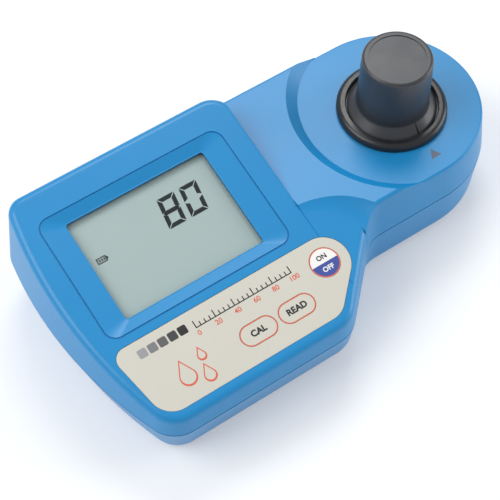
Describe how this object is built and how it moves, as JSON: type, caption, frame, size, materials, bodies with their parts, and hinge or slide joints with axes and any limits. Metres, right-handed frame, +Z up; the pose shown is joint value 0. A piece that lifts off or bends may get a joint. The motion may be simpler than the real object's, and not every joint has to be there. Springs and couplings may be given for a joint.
{
  "type": "portable colorimeter",
  "caption": "Handheld colorimeter with a tilted display block, film keypad, scooped waist and a round sample deck whose well is closed by a tall light-shield cap.",
  "frame": {"origin": "on the table, below the middle of the casing's bounding box", "axes": "+X from the display end to the sample end, +Y from the user to the back, +Z up"},
  "size_m": [0.192, 0.104, 0.069],
  "materials": {
    "casing_blue": "fine moulded grain",
    "gasket_dark": "matte",
    "mark_grey": "printed",
    "lens_clear": "polished, clear",
    "lcd_grey": "matte polariser with dark digits",
    "frame_white": "moulded",
    "contact_rubber": "striped contact rubber",
    "board_green": "solder mask",
    "chip_black": "moulded",
    "screw_steel": "zinc plated",
    "film_beige": "printed film",
    "key_print": "printed film",
    "membrane_white": "laminated film",
    "dome_steel": "sprung",
    "tail_amber": "flexible film",
    "ring_black": "satin",
    "cap_black": "satin, textured top",
    "holder_black": "matte, light-tight",
    "seal_rubber": "matte",
    "lamp_glass": "clear",
    "lens_glass": "polished",
    "filter_glass": "mirror-like coating",
    "photocell_can": "plated",
    "vial_glass": "polished",
    "stopper_black": "ribbed",
    "battery_skin": "lacquered",
    "snap_black": "moulded",
    "lead_red": "insulated wire",
    "pad_foam": "foam",
    "foot_rubber": "matte"
  },
  "bodies": {
    "housing": {"top_cover": "casing_blue", "bottom_shell": "casing_blue", "seam_gasket": "gasket_dark", "index_mark": "mark_grey", "display_lens": "lens_clear", "lcd_glass": "lcd_grey", "lcd_frame": "frame_white", "lcd_connectors": "contact_rubber", "main_board": "board_green", "board_parts": "chip_black", "board_screws": "screw_steel", "keypad_overlay": "film_beige", "keypad_membrane": "membrane_white", "snap_domes": "dome_steel", "keypad_tail": "tail_amber", "collar_ring": "ring_black", "well_seal": "seal_rubber", "cuvette_holder": "holder_black", "holder_screws": "screw_steel", "lamp": "lamp_glass", "lamp_lens": "lens_glass", "interference_filter": "filter_glass", "photocell": "photocell_can", "detector_board": "board_green", "battery": "battery_skin", "battery_snap": "snap_black", "battery_leads": "lead_red", "case_screws": "screw_steel", "feet": "foot_rubber"},
    "power_key": {"power_key": "key_print"},
    "cal_key": {"cal_key": "key_print"},
    "read_key": {"read_key": "key_print"},
    "cuvette": {"cuvette": "vial_glass"},
    "cuvette_stopper": {"cuvette_stopper": "stopper_black"},
    "shield_cap": {"shield_cap": "cap_black"},
    "battery_cover": {"battery_cover": "casing_blue", "battery_pad": "pad_foam"}
  },
  "joints": [
    {"name": "power_key_press", "type": "slide", "parent": "housing", "child": "power_key", "axis": [0, 0.2079, -0.9781], "range_m": [0, 0.0004], "stiffness_N_per_m": 2500},
    {"name": "cal_key_press", "type": "slide", "parent": "housing", "child": "cal_key", "axis": [0, 0.2079, -0.9781], "range_m": [0, 0.0004], "stiffness_N_per_m": 2500},
    {"name": "read_key_press", "type": "slide", "parent": "housing", "child": "read_key", "axis": [0, 0.2079, -0.9781], "range_m": [0, 0.0004], "stiffness_N_per_m": 2500},
    {"name": "cuvette_lift", "type": "slide", "parent": "housing", "child": "cuvette", "axis": [0, 0, 1], "range_m": [0, 0.045]},
    {"name": "cuvette_stopper_lift", "type": "slide", "parent": "cuvette", "child": "cuvette_stopper", "axis": [0, 0, 1], "range_m": [0, 0.0085]},
    {"name": "shield_cap_lift", "type": "slide", "parent": "cuvette", "child": "shield_cap", "axis": [0, 0, 1], "range_m": [0, 0.035]},
    {"name": "battery_cover_turn", "type": "hinge", "parent": "housing", "child": "battery_cover", "pos_m": [-0.038, -0.006, 0.0015], "axis": [0, 0, 1], "range_deg": [-35, 0]}
  ]
}
